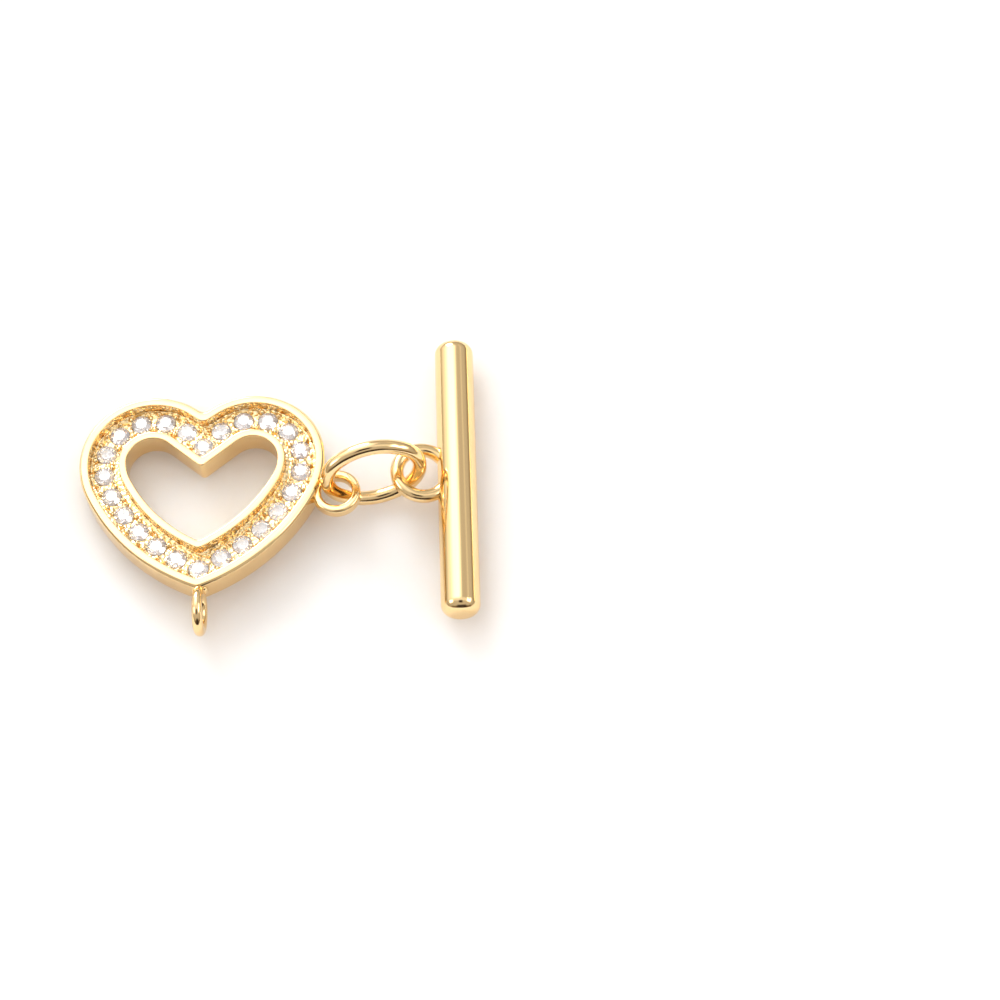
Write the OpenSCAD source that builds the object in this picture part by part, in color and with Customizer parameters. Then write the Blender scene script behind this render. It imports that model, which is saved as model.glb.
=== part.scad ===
// Toggle clasp with a heart-shaped frame set with round stones, an oval link and a toggle bar.
// Millimetres. +X runs from the heart to the bar, +Y from the heart's tip to its lobes, +Z up.
// The pieces lie on the plane z = 0, with the origin under the middle of the whole clasp.

/* [Heart band] */
// Distance of each lobe's centre from the heart's axis
lobe_x = 3.32; // [3.1:0.01:3.4]
// Height of the lobe centres above the tip
lobe_y = 9.4; // [9.2:0.01:9.6]
// Outer radius of each lobe
lobe_r = 4.82; // [4.7:0.01:5]
// Outer radius of each flank where it leaves the lobe
flank_r = 6.04; // [5.9:0.01:6.3]
// Angle over which a flank keeps that radius
flank_a = 26.3; // [25:0.1:28]
// Outer radius of each flank near the tip
lower_r = 13.71; // [13.5:0.01:14.2]
// Width of the band, from its outer edge to its inner edge
band_w = 3.12; // [3:0.01:3.2]
// Thickness of the band
band_t = 2; // [1.9:0.05:2.3]
// Slope of the outer edge at the notch
notch_a_outer = 35; // [34:0.5:36]
// Slope of the inner edge at the notch
notch_a_inner = 39.6; // [39:0.1:41]
// Radius that rounds the notch of the outer edge
notch_round_outer = 0.6; // [0.4:0.05:0.6]
// Radius that rounds the notch of the inner edge
notch_round_inner = 0.32; // [0.2:0.01:0.4]
// Radius that rounds the tip
tip_round = 0.53; // [0.4:0.01:0.6]

/* [Channel and rims] */
// Width of the outer rim
outer_rim = 0.61; // [0.5:0.01:0.62]
// Width of the inner rim
inner_rim = 0.49; // [0.45:0.01:0.55]
// Depth of the channel between the rims
channel_depth = 0.74; // [0.6:0.01:0.8]

/* [Stones] */
// Stones on each side, without the two on the axis
side_stones = 11; // [9:1:11]
// Diameter of a stone
stone_d = 1.3; // [1.1:0.01:1.32]
// Distance along the band from the notch to the first side stone
first_stone = 1.45; // [1.43:0.01:1.5]
// Distance that the notch stone sits towards the hole
notch_stone_drop = 0.3; // [0.25:0.01:0.35]
// Gap between a stone's edge and its seat
seat_gap = 0.04; // [0.03:0.01:0.05]
// Diameter of the hole behind each stone
through_d = 0.9; // [0.7:0.01:0.9]
// Depth of the soft edge where that hole opens on the back
through_edge = 0.08; // [0.05:0.01:0.1]
// Diameter of a bead prong
bead_d = 0.3; // [0.2:0.01:0.3]
// Height of a bead's centre above the channel's floor
bead_up = 0.06; // [0.04:0.01:0.1]
// Gap between a bead and the edge of the seat
bead_gap = 0.03; // [0.02:0.01:0.04]

/* [Dimples on the back] */
// Diameter of a dimple
dimple_d = 0.5; // [0.3:0.01:0.5]
// Depth of a dimple
dimple_depth = 0.18; // [0.1:0.01:0.2]
// Distance of the outer row from the outer edge
outer_row = 0.55; // [0.5:0.01:0.6]
// Dimples on each side in the outer row, without the two on the axis
outer_count = 24; // [20:1:24]
// Distance of the inner row from the inner edge
inner_row = 0.5; // [0.45:0.01:0.55]
// Dimples on each side in the inner row, without the two on the axis
inner_count = 17; // [14:1:17]

/* [Side loop] */
// Outer diameter of the loop at the heart's side
side_d = 3.2; // [3.18:0.01:3.22]
// Thickness of its wire in the loop's plane
side_w = 0.58; // [0.5:0.01:0.6]
// Height of its wire
side_h = 0.86; // [0.8:0.01:0.88]
// Chamfer on its wire
side_chamfer = 0.14; // [0.1:0.01:0.18]
// Place of its centre, measured from the tip on the back face
side_x = 8.92; // [8.9:0.01:8.94]
// The same, along the axis
side_y = 7.02; // [7:0.01:7.05]
// The same, above the back face
side_z = 1.14; // [1.12:0.01:1.16]

/* [Bottom loop] */
// Outer diameter of the loop at the tip
bottom_d = 3.32; // [3.2:0.01:3.4]
// Diameter of its wire
bottom_w = 0.69; // [0.6:0.01:0.75]
// Place of its centre, to the side of the tip
bottom_x = 0.13; // [0:0.01:0.2]
// Length of the loop that is sunk into the band
bottom_sink = 0.4; // [0.35:0.01:0.45]

/* [Oval link] */
// Diameter of the link's wire
link_wire = 0.95; // [0.92:0.01:0.96]
// Radius of its ends, along the wire's middle
link_end_r = 1.9; // [1.89:0.01:1.91]
// How much larger the radius of its long sides is
link_reach = 2; // [1.9:0.1:2.1]

/* [Toggle bar] */
// Diameter of the rod
rod_d = 2.6; // [2.5:0.01:2.62]
// Length of the rod
rod_l = 20.04; // [19.5:0.01:20.2]
// Radius that rounds the rod's ends
rod_round = 0.8; // [0.6:0.05:1]
// Outer diameter of the loop on the rod
rod_loop_d = 4.3; // [4.25:0.01:4.35]
// Diameter of that loop's wire
rod_loop_w = 0.9; // [0.85:0.01:0.92]
// Distance of that loop's centre from the rod's axis
rod_loop_x = 2.32; // [2.3:0.01:2.34]
// Distance of that loop's centre from the rod's middle
rod_loop_y = 0.2; // [0.15:0.01:0.25]

/* [How the pieces lie] */
// Turn of the heart seen from above
heart_turn = 0.87; // [0.8:0.01:0.95]
// Angle by which the bottom loop lifts the heart's tip
heart_pitch = 1.91; // [1.88:0.01:1.94]
// Angle by which the link lifts the heart's side
heart_roll = 1.6; // [1.55:0.01:1.65]
// Turn of the link seen from above
link_turn = 12.6; // [12.4:0.1:12.8]
// Slope of the link along its length
link_pitch = -2.7; // [-2.8:0.1:-2.6]
// Angle by which the link leans over on its long side
link_lean = 72; // [71.8:0.1:72.2]
// Turn of the bar seen from above
bar_turn = 1.8; // [1.7:0.01:1.9]
// Angle by which the bar's loop is lifted
bar_loop_lift = 8; // [7.8:0.1:8.2]
// From the bar's middle back to the heart's tip, along X
tip_x = -16.718; // [-16.73:0.001:-16.7]
// From the bar's middle back to the heart's tip, along Y
tip_y = -8.633; // [-8.64:0.001:-8.62]
// From the bar's middle back to the link's middle, along X
link_x = -5.49; // [-5.495:0.001:-5.485]
// From the bar's middle back to the link's middle, along Y
link_y = -0.35; // [-0.355:0.001:-0.345]

/* [Hidden] */
stone_count = 2 * side_stones + 2;
stone_names = [for (i = [1:stone_count]) str("stone_", i < 10 ? "0" : "", i)];
$fn = 96;

gold = [0.86, 0.72, 0.47];
clear_stone = [0.9, 0.93, 0.96];

// Lengths that only have to reach past the solids
past = 30;
over = 0.5;

// Centres of the two flank arcs of the right half
flank_c = [lobe_x + lobe_r - flank_r, lobe_y];
flank_dir = [cos(flank_a), -sin(flank_a)];
lower_c = flank_c + (flank_r - lower_r) * flank_dir;
// A height on the axis that lies inside every outline
core_y = 6;
// Angles by which the small roundings miss a true tangent, so that the arcs cross cleanly
notch_cross = 6;
tip_cross = 4;

floor_z = band_t - channel_depth;
mid_d = band_w / 2;
seat_r = stone_d / 2 + seat_gap;
seat_depth = 0.22;
seat_over = 0.02;
seat_slope = (seat_r - through_d / 2) / seat_depth;
through_flare = 0.07;
bead_r = bead_d / 2;
bead_out = seat_r + bead_gap + bead_r;
dimple_r = (pow(dimple_d / 2, 2) + pow(dimple_depth, 2)) / (2 * dimple_depth);

// Proportions of a round brilliant, as shares of its diameter
table_share = 0.56;
star_share = 0.8;
crown_share = 0.15;
star_up_share = 0.105;
girdle_share = 0.03;
pavilion_share = 0.43;
lower_facet_share = 0.4;
lower_facet_down_share = 0.28;

// The link's arcs meet on lines with this direction, whose length is exactly 1
link_seam = [0.6, 0.8];
link_end_x = link_seam.x * link_reach;
link_side_y = link_seam.y * link_reach;
link_side_r = link_reach + link_end_r;
link_cut = 10;
// Slopes of the link's plane along its length and across it, and the fall to its lowest point
link_slope = [sin(link_pitch), cos(link_pitch) * sin(link_lean)];
link_drop = link_side_r * norm(link_slope) - link_slope.y * link_side_y;

// Slope of the outline at the notch, for an outline that lies d inside the outer edge
function notch_a(d) = notch_a_outer + (notch_a_inner - notch_a_outer) * d / band_w;

// Height where the two slopes of the notch meet, and the point where the right one joins the lobe
function notch_y(d) = lobe_y + (lobe_r - d - lobe_x * sin(notch_a(d))) / cos(notch_a(d));
function notch_end(d) = [lobe_x - (lobe_r - d) * sin(notch_a(d)), lobe_y + (lobe_r - d) * cos(notch_a(d))];

// Height of the sharp tip, and the slope of the flank there
function tip_low(d) = lower_c.y - sqrt(pow(lower_r - d, 2) - pow(lower_c.x, 2));
function tip_a(d) = asin(-lower_c.x / (lower_r - d));

// Lengths of the four stretches of the right half, from the notch to the tip
function notch_len(d) = norm(notch_end(d) - [0, notch_y(d)]);
function lobe_len(d) = (lobe_r - d) * (90 + notch_a(d)) * PI / 180;
function flank_len(d) = (flank_r - d) * flank_a * PI / 180;
function lower_len(d) = (lower_r - d) * (90 - flank_a - tip_a(d)) * PI / 180;
function half_len(d) = notch_len(d) + lobe_len(d) + flank_len(d) + lower_len(d);

function arc_point(c, r, a) = c + r * [cos(a), sin(a)];

// Direction of travel, in degrees, and place at the length s from the notch
function lobe_turn(d, s) = (s - notch_len(d)) / (lobe_r - d) * 180 / PI;
function flank_turn(d, s) = (s - notch_len(d) - lobe_len(d)) / (flank_r - d) * 180 / PI;
function lower_turn(d, s) = (s - notch_len(d) - lobe_len(d) - flank_len(d)) / (lower_r - d) * 180 / PI;
function half_point(d, s) =
    s < notch_len(d) ? [0, notch_y(d)] + s * [cos(notch_a(d)), sin(notch_a(d))]
    : s < notch_len(d) + lobe_len(d)
        ? arc_point([lobe_x, lobe_y], lobe_r - d, 90 + notch_a(d) - lobe_turn(d, s))
    : s < notch_len(d) + lobe_len(d) + flank_len(d)
        ? arc_point(flank_c, flank_r - d, -flank_turn(d, s))
    : arc_point(lower_c, lower_r - d, -flank_a - lower_turn(d, s));
function half_heading(d, s) =
    s < notch_len(d) ? notch_a(d)
    : s < notch_len(d) + lobe_len(d) ? notch_a(d) - lobe_turn(d, s)
    : s < notch_len(d) + lobe_len(d) + flank_len(d) ? -90 - flank_turn(d, s)
    : -90 - flank_a - lower_turn(d, s);

// Stones of the right half, from the notch to the tip, as [x, y, heading of the band there]
stone_pitch = (half_len(mid_d) - first_stone) / side_stones;
function side_stone(i) =
    let (s = first_stone + (i - 1) * stone_pitch, p = half_point(mid_d, s))
    [p.x, p.y, half_heading(mid_d, s)];
notch_stone = [0, notch_y(mid_d) - notch_stone_drop, 0];
tip_stone = [0, tip_low(mid_d), 180];
right_stones = [for (i = [1:side_stones]) side_stone(i)];
left_stones = [for (i = [side_stones:-1:1]) [-side_stone(i).x, side_stone(i).y, 180 - side_stone(i).z]];
stones = concat([notch_stone], right_stones, [tip_stone], left_stones);

// Directions of the bead prongs round a stone, from the band's heading
side_beads = [45, 135, 225, 315];
notch_beads = [0, 90, 180, 270];
tip_beads = [20, 90, 160, 270];
function bead_angles(i) = i == 0 ? notch_beads : i == side_stones + 1 ? tip_beads : side_beads;

// Dimples along an outline, both halves and the two on the axis
function row_points(d, count) =
    let (step = half_len(d) / (count + 1), right = [for (i = [1:count]) half_point(d, i * step)])
    concat([[0, notch_y(d)], [0, tip_low(d)]], right, [for (p = right) [-p.x, p.y]]);

// The heart rests on its left lobe's back edge and on the bottom loop, so the tip stands this high
heart_slope = [sin(heart_roll), -cos(heart_roll) * sin(heart_pitch)];
lobe_fall = lobe_r * norm(heart_slope) + heart_slope.x * lobe_x - heart_slope.y * lobe_y;
loop_r = (bottom_d - bottom_w) / 2;
loop_fall = loop_r * cos(heart_roll) + bottom_w / 2 - heart_slope.x * bottom_x
    - heart_slope.y * (bottom_sink - bottom_d / 2) - cos(heart_roll) * cos(heart_pitch) * band_t / 2;
heart_lift = max(lobe_fall, loop_fall);

// Place of the whole clasp over its origin
rod_reach = rod_l / 2 - rod_round;
right_end = rod_reach * sin(bar_turn) + rod_d / 2;
left_end = tip_x - lobe_x * cos(heart_turn) - lobe_y * sin(heart_turn) - lobe_r;
far_end = rod_l / 2 * cos(bar_turn) + (rod_d / 2 - rod_round) * sin(bar_turn);
near_end = tip_y + bottom_x * sin(heart_turn) - (bottom_d - bottom_sink) * cos(heart_turn) * cos(heart_pitch);
middle = [-(left_end + right_end) / 2, -(far_end + near_end) / 2, 0];

// One half of the heart, filled, d inside the outer edge
module half_heart(d) {
    difference() {
        union() {
            translate([lobe_x, lobe_y]) circle(r = lobe_r - d);
            intersection() {
                translate(flank_c) circle(r = flank_r - d);
                polygon([flank_c, [past, lobe_y], flank_c + past * flank_dir]);
            }
            intersection() {
                translate(lower_c) circle(r = lower_r - d);
                polygon([[0, lobe_y - over], flank_c, flank_c + past * flank_dir, [0, -past]]);
            }
            polygon([[0, core_y], [0, notch_y(d)], notch_end(d), [lobe_x, lobe_y], [lobe_x, core_y]]);
        }
        polygon([[0, notch_y(d)], notch_end(d), [notch_end(d).x, past], [0, past]]);
    }
}

// The metal that rounds the bottom of the notch
module notch_fill(d) {
    r = notch_round_outer + (notch_round_inner - notch_round_outer) * d / band_w;
    a = notch_a(d) - notch_cross;
    x = r * sin(a);
    y = notch_y(d) + x * tan(notch_a(d));
    difference() {
        polygon([[0, notch_y(d) - over], [x, y], [-x, y]]);
        translate([0, y + r * cos(a)]) circle(r = r);
    }
}

// The corner that the rounding of the tip takes away
module tip_corner(d) {
    a = tip_a(d) - tip_cross;
    x = tip_round * sin(a);
    y = tip_low(d) + x * tan(tip_a(d));
    difference() {
        translate([-x, y - over]) square([2 * x, over]);
        translate([0, y + tip_round * cos(a)]) circle(r = tip_round);
    }
}

// The whole heart, filled, d inside the outer edge
module heart(d) {
    difference() {
        union() {
            half_heart(d);
            mirror([1, 0]) half_heart(d);
            notch_fill(d);
        }
        tip_corner(d);
    }
}

// The band with its two rims and the channel between them
module band() {
    difference() {
        linear_extrude(band_t) heart(0);
        translate([0, 0, -over]) linear_extrude(band_t + 2 * over) heart(band_w);
        translate([0, 0, floor_z]) linear_extrude(channel_depth + over) difference() {
            heart(outer_rim);
            heart(band_w - inner_rim);
        }
    }
}

// The opening for one stone: a cone under its edge and a hole through to the back, with a soft edge there
module seat() {
    rotate_extrude() polygon([
        [0, -through_edge],
        [through_d / 2 + 2 * through_flare, -through_edge],
        [through_d / 2, through_edge],
        [through_d / 2, floor_z - seat_depth],
        [seat_r + seat_over * seat_slope, floor_z + seat_over],
        [0, floor_z + seat_over]]);
}

module bead_prongs() {
    for (i = [0:stone_count - 1])
        for (a = bead_angles(i))
            translate([stones[i].x, stones[i].y, floor_z + bead_up])
                rotate(stones[i].z + a) translate([bead_out, 0]) sphere(r = bead_r, $fn = 32);
}

module dimples() {
    points = concat(row_points(outer_row, outer_count), row_points(band_w - inner_row, inner_count));
    for (p = points)
        translate([p.x, p.y, dimple_depth - dimple_r]) sphere(r = dimple_r, $fn = 48);
}

// The loop that takes the link, with the solder that holds it to the flank
module side_loop() {
    solder_turn = atan2(side_y - flank_c.y, side_x - flank_c.x);
    solder_w = 1.3;
    solder_l = 0.6;
    solder_h = 0.5;
    translate([side_x, side_y, side_z]) {
        difference() {
            union() {
                rotate_extrude() translate([side_d / 2 - side_w, -side_h / 2]) polygon([
                    [0, side_chamfer], [side_chamfer, 0], [side_w - side_chamfer, 0], [side_w, side_chamfer],
                    [side_w, side_h - side_chamfer], [side_w - side_chamfer, side_h],
                    [side_chamfer, side_h], [0, side_h - side_chamfer]]);
                rotate(solder_turn) translate([-side_d / 2, -solder_w / 2, -solder_h / 2])
                    cube([solder_l, solder_w, solder_h]);
            }
            translate([0, 0, -side_h]) cylinder(h = 2 * side_h, r = side_d / 2 - side_w);
        }
    }
}

// The loop at the tip, standing across the band
module bottom_loop() {
    translate([bottom_x, bottom_sink - bottom_d / 2, band_t / 2]) rotate([0, 90, 0])
        rotate_extrude() translate([(bottom_d - bottom_w) / 2, 0]) circle(d = bottom_w, $fn = 48);
}

module place_heart() {
    translate(middle + [tip_x, tip_y, heart_lift]) rotate([-heart_pitch, -heart_roll, heart_turn]) children();
}

module heart_frame() {
    color(gold) place_heart() {
        difference() {
            union() {
                band();
                bead_prongs();
            }
            for (p = stones) translate([p.x, p.y, 0]) seat();
            dimples();
        }
        side_loop();
        bottom_loop();
    }
}

// A ring of points for a facet level of the stone
function ring(r, z, count, turn) = [for (i = [0:count - 1]) [r * cos(turn + i * 360 / count),
    r * sin(turn + i * 360 / count), z]];

// A round brilliant with its girdle's lower edge at z = 0
module brilliant(d) {
    girdle = girdle_share * d;
    points = concat(
        ring(table_share * d / 2, girdle + crown_share * d, 8, 22.5),
        ring(star_share * d / 2, girdle + star_up_share * d, 8, 0),
        ring(d / 2, girdle, 16, 0),
        ring(d / 2, 0, 16, 0),
        ring(lower_facet_share * d / 2, -lower_facet_down_share * d, 8, 22.5),
        [[0, 0, -pavilion_share * d]]);
    hull() polyhedron(points, [for (i = [0:len(points) - 3]) [i, i + 1, i + 2]]);
}

module stone(i) {
    color(clear_stone) place_heart() translate([stones[i].x, stones[i].y, floor_z])
        rotate(stones[i].z) brilliant(stone_d);
}

// One arc of the link's wire about the origin, between two directions that mirror each other about +X or +Y
module link_arc(r, corners) {
    intersection() {
        rotate_extrude() translate([r, 0]) circle(d = link_wire, $fn = 48);
        translate([0, 0, -link_wire]) linear_extrude(2 * link_wire) polygon(concat([[0, 0]], link_cut * corners));
    }
}

module link_end() {
    corners = [[link_seam.x, -link_seam.y], [1, 0], [link_seam.x, link_seam.y]];
    translate([link_end_x, 0]) link_arc(link_end_r, corners);
}

module link_side() {
    corners = [[link_seam.x, link_seam.y], [0, 1], [-link_seam.x, link_seam.y]];
    translate([0, -link_side_y]) link_arc(link_side_r, corners);
}

// The link lies on its lower long side and leans over on its two neighbours
module oval_link() {
    color(gold) translate(middle + [link_x, link_y, link_wire / 2 + link_drop])
        rotate([link_lean, -link_pitch, link_turn]) {
            link_end();
            link_side();
            mirror([1, 0]) link_end();
            mirror([0, 1]) link_side();
        }
}

// The rod's half section, with its rounded ends
module rod_section() {
    difference() {
        translate([0, -rod_l / 2]) square([rod_d / 2, rod_l]);
        for (end = [-1, 1]) scale([1, end]) difference() {
            translate([rod_d / 2 - rod_round, rod_l / 2 - rod_round]) square(2 * rod_round);
            translate([rod_d / 2 - rod_round, rod_l / 2 - rod_round]) circle(r = rod_round);
        }
    }
}

module toggle_bar() {
    color(gold) translate(middle + [0, 0, rod_d / 2]) rotate(bar_turn) {
        rotate([90, 0, 0]) rotate_extrude() rod_section();
        translate([0, rod_loop_y, 0]) rotate([0, bar_loop_lift, 0]) translate([-rod_loop_x, 0, 0])
            rotate_extrude() translate([(rod_loop_d - rod_loop_w) / 2, 0]) circle(d = rod_loop_w, $fn = 48);
    }
}

heart_frame();
oval_link();
toggle_bar();
for (i = [0:stone_count - 1]) stone(i);
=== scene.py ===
"""A heart toggle clasp in pale gold with clear stones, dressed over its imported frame.

Pieces are modelled in millimetres, each in the frame of the piece that it belongs to, and are then
brought to their place on the table in metres.
"""
from math import asin, atan2, cos, hypot, pi, radians, sin, sqrt

import bmesh
import bpy
from mathutils import Matrix, Vector
from mathutils.kdtree import KDTree


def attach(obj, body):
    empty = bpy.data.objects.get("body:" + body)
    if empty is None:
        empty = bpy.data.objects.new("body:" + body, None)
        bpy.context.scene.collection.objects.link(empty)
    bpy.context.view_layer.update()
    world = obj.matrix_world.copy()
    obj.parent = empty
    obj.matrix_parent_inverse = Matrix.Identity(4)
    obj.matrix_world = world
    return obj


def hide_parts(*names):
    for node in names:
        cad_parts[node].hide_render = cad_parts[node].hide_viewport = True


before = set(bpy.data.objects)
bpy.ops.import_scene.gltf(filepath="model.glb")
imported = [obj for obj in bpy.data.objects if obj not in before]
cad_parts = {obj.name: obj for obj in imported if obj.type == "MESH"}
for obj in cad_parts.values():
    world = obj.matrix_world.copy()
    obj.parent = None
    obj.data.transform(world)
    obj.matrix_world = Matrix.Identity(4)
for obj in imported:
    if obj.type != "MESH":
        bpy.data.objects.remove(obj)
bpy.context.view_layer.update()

MM = 0.001

# Heart band, in its own frame: x across, y from the tip to the notch, z from the back to the front
LOBE_X = 3.32
LOBE_Y = 9.4
LOBE_R = 4.82
FLANK_R = 6.04
FLANK_ANGLE = radians(26.3)
LOWER_R = 13.71
BAND_W = 3.12
BAND_T = 2.0
NOTCH_OUTER = radians(35)
NOTCH_INNER = radians(39.6)
NOTCH_ROUND_OUTER = 0.6
NOTCH_ROUND_INNER = 0.32
TIP_ROUND = 0.53
OUTER_RIM = 0.61
INNER_RIM = 0.49
FLOOR_Z = 1.26

# Centres of the flank's arc and of the lower arc, on the right half
FLANK_C = (LOBE_X + LOBE_R - FLANK_R, LOBE_Y)
LOWER_C = (FLANK_C[0] + (FLANK_R - LOWER_R) * cos(FLANK_ANGLE),
           FLANK_C[1] - (FLANK_R - LOWER_R) * sin(FLANK_ANGLE))

# Soft edges of the band's section, and the lean of the channel's walls
BACK_ROUND = 0.27
RIM_BEVEL = 0.15
EDGE_ROUND = 0.06
WALL_LEAN = 0.03

# Lines that part the section's long faces: heights on the walls, insets in the channel and on the back
WALL_ROWS = (0.7, 1.3)
CHANNEL_ROWS = (1.1, 1.95)
BACK_ROWS = (2.2, 1.5, 0.8)

# Faces along each stretch of the outline, and round the lathe pieces, the big rounds and the wires
NOTCH_STEPS = 10
SLOPE_STEPS = 10
LOBE_STEPS = 72
FLANK_STEPS = 30
LOWER_STEPS = 50
TIP_STEPS = 8
SEAT_STEPS = 36
DIMPLE_STEPS = 20
BEAD_STEPS = 14
ROUND_STEPS = 96
WIRE_STEPS = 32

# Stones and what holds them
SIDE_STONES = 11
STONE_D = 1.3
FIRST_STONE = 1.45
NOTCH_DROP = 0.3
THROUGH_R = 0.45
THROUGH_FLARE = 0.09
SEAT_R = 0.69
SEAT_DEPTH = 0.22
BEAD_OUT = 0.83
BEAD_R = 0.17

# Where the beads stand round a seat, in degrees from the band's heading
BEAD_ANGLES = (45, 135, 225, 315)
NOTCH_BEAD_ANGLES = (0, 90, 180, 270)
TIP_BEAD_ANGLES = (20, 90, 160, 270)

# Inset and number of the dimples in each row of one half
OUTER_ROW = (0.55, 24)
INNER_ROW = (BAND_W - 0.5, 17)

# Lathe profiles, as (radius, height): seats and dimples from the back, beads from the channel's floor
SEAT_PROFILE = (
    (THROUGH_R + 2 * THROUGH_FLARE, -0.1), (THROUGH_R + THROUGH_FLARE, 0), (THROUGH_R + 0.03, 0.06),
    (THROUGH_R, 0.14), (THROUGH_R, FLOOR_Z - SEAT_DEPTH), (SEAT_R, FLOOR_Z),
    (SEAT_R + 0.02, FLOOR_Z + 0.02))
DIMPLE_PROFILE = (
    (0.32, -0.08), (0.25, 0.0), (0.225, 0.07), (0.17, 0.11), (0.115, 0.09), (0.075, 0.04), (0.03, 0.03))
BEAD_PROFILE = (
    (0.10, -0.15), (0.15, 0.0), (BEAD_R, 0.06), (0.16, 0.12), (0.13, 0.17), (0.085, 0.205), (0.03, 0.22))

# Stones that sit askew, by number from the notch: how far and to which side they lean, in degrees
ASKEW = {1: (7, 70), 3: (3, 40), 8: (8, 50), 9: (8, 85), 10: (7, 60), 11: (7, 35), 16: (4, 20),
         18: (4, 80), 19: (9, 55), 23: (6, 30)}

# The lean of the others in degrees, and from one to the next the change of its side and of the stone's turn
LEAN = 0.6
LEAN_STEP = 70
TURN_STEP = 0.9

# Loops of the heart
SIDE_LOOP = (8.92, 7.02, 1.14)
SIDE_LOOP_D = 3.2
SIDE_LOOP_W = 0.58
SIDE_LOOP_H = 0.86
SIDE_LOOP_ROUND = 0.2
SIDE_LOOP_TURN = atan2(SIDE_LOOP[1] - FLANK_C[1], SIDE_LOOP[0] - FLANK_C[0])
BOTTOM_LOOP = (0.13, -1.26, 1.0)
BOTTOM_LOOP_D = 3.32
BOTTOM_LOOP_WIRE = 0.69

# Link: the line from a side arc's centre to an end arc's runs 3 across to 4 up
LINK_WIRE = 0.95
LINK_END_R = 1.9
LINK_REACH = 2.0
LINK_ACROSS = 0.6
LINK_UP = 0.8
LINK_END_STEPS = 22
LINK_SIDE_STEPS = 40

# Bar
ROD_D = 2.6
ROD_L = 20.04
ROD_ROUND = 0.8
ROD_LOOP_D = 4.3
ROD_LOOP_WIRE = 0.9
ROD_LOOP_X = -2.32
ROD_LOOP_Y = 0.2
ROD_LOOP_LIFT = radians(8)

# Solder, as where its drops lie and their half sizes
SIDE_SOLDER_IN = 1.45
SIDE_SOLDER_APART = 0.62
SIDE_SOLDER_SIZES = ((-1, 0.26), (1, 0.2))
SIDE_SOLDER_LONG = 1.2
SIDE_SOLDER_HIGH = 0.3
TIP_SOLDER_SPOTS = (-0.3, 0.32)
TIP_SOLDER_Y = 0.14
TIP_SOLDER_Z = 1.15
TIP_SOLDER_SIZE = (0.24, 0.26, 0.5)
ROD_SOLDER_SPOTS = ((1.28, 0.3), (-1.3, 0.34))
ROD_SOLDER_X = -1.25
ROD_SOLDER_Z = 0.12
ROD_SOLDER_WIDE = 0.3
ROD_SOLDER_HIGH = 0.42

# How the pieces lie on the table: turn about x, y and z in degrees, and place
BAR_TURN = (0, 0, 1.8)
BAR_PLACE = (11.7054, 0.7592, 1.3)
HEART_TURN = (-1.91, -1.6, 0.87)
HEART_PLACE = (-5.0126, -7.8738, 0.6154)
LINK_TURN = (72.0, 2.7, 12.6)
LINK_PLACE = (6.2154, 0.4092, 2.6646)

# Edges up to this many degrees are shaded smooth
SMOOTH_ANGLE = 32


# Modelling helpers

def clear_selection():
    """Nothing stays selected, so that an operator only acts on what comes next."""
    if bpy.context.mode != "OBJECT":
        bpy.ops.object.mode_set(mode="OBJECT")
    bpy.ops.object.select_all(action="DESELECT")


def choose(piece):
    """Makes a piece the only one selected, and the active one."""
    clear_selection()
    piece.select_set(True)
    bpy.context.view_layer.objects.active = piece


def edit(piece):
    """Opens a piece in edit mode and hands back its mesh."""
    choose(piece)
    bpy.ops.object.mode_set(mode="EDIT")
    return bmesh.from_edit_mesh(piece.data)


def done():
    """Back to object mode."""
    bpy.ops.object.mode_set(mode="OBJECT")


def pick(piece, wanted, kind):
    """Selects the edges or faces of the piece in edit mode that pass the test."""
    mesh = bmesh.from_edit_mesh(piece.data)
    bpy.ops.mesh.select_mode(type=kind)
    bpy.ops.mesh.select_all(action="DESELECT")
    parts = {"EDGE": mesh.edges, "FACE": mesh.faces}[kind]
    for part in parts:
        part.select_set(wanted(part))
    mesh.select_flush_mode()
    bmesh.update_edit_mesh(piece.data)


def close_up(gap):
    """Merges the doubled points of the piece in edit mode, and turns its faces outwards."""
    bpy.ops.mesh.select_all(action="SELECT")
    bpy.ops.mesh.remove_doubles(threshold=gap)
    bpy.ops.mesh.normals_make_consistent(inside=False)
    done()


def settle(piece, turn=(0, 0, 0), place=(0, 0, 0)):
    """Applies a turn in radians and a place, still in millimetres."""
    choose(piece)
    piece.rotation_mode = "XYZ"
    piece.rotation_euler = turn
    piece.location = place
    bpy.ops.object.transform_apply(location=True, rotation=True, scale=True)
    return piece


def copy_of(piece, name):
    """A copy with a mesh of its own."""
    twin = piece.copy()
    twin.data = piece.data.copy()
    twin.name = name
    bpy.context.scene.collection.objects.link(twin)
    return twin


def scattered(piece, places, name):
    """Copies of a piece at each place, joined as one. The piece itself is used up."""
    copies = [settle(copy_of(piece, piece.name), place=place) for place in places]
    bpy.data.objects.remove(piece)
    clear_selection()
    for twin in copies:
        twin.select_set(True)
    bpy.context.view_layer.objects.active = copies[0]
    bpy.ops.object.join()
    whole = bpy.context.object
    whole.name = name
    return whole


def apply_boolean(piece, tool, operation):
    """Cuts or welds one closed piece with another, which is used up."""
    choose(piece)
    change = piece.modifiers.new("boolean", "BOOLEAN")
    change.object = tool
    change.operation = operation
    change.solver = "MANIFOLD"
    bpy.ops.object.modifier_apply(modifier=change.name)
    bpy.data.objects.remove(tool)
    return piece


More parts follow.
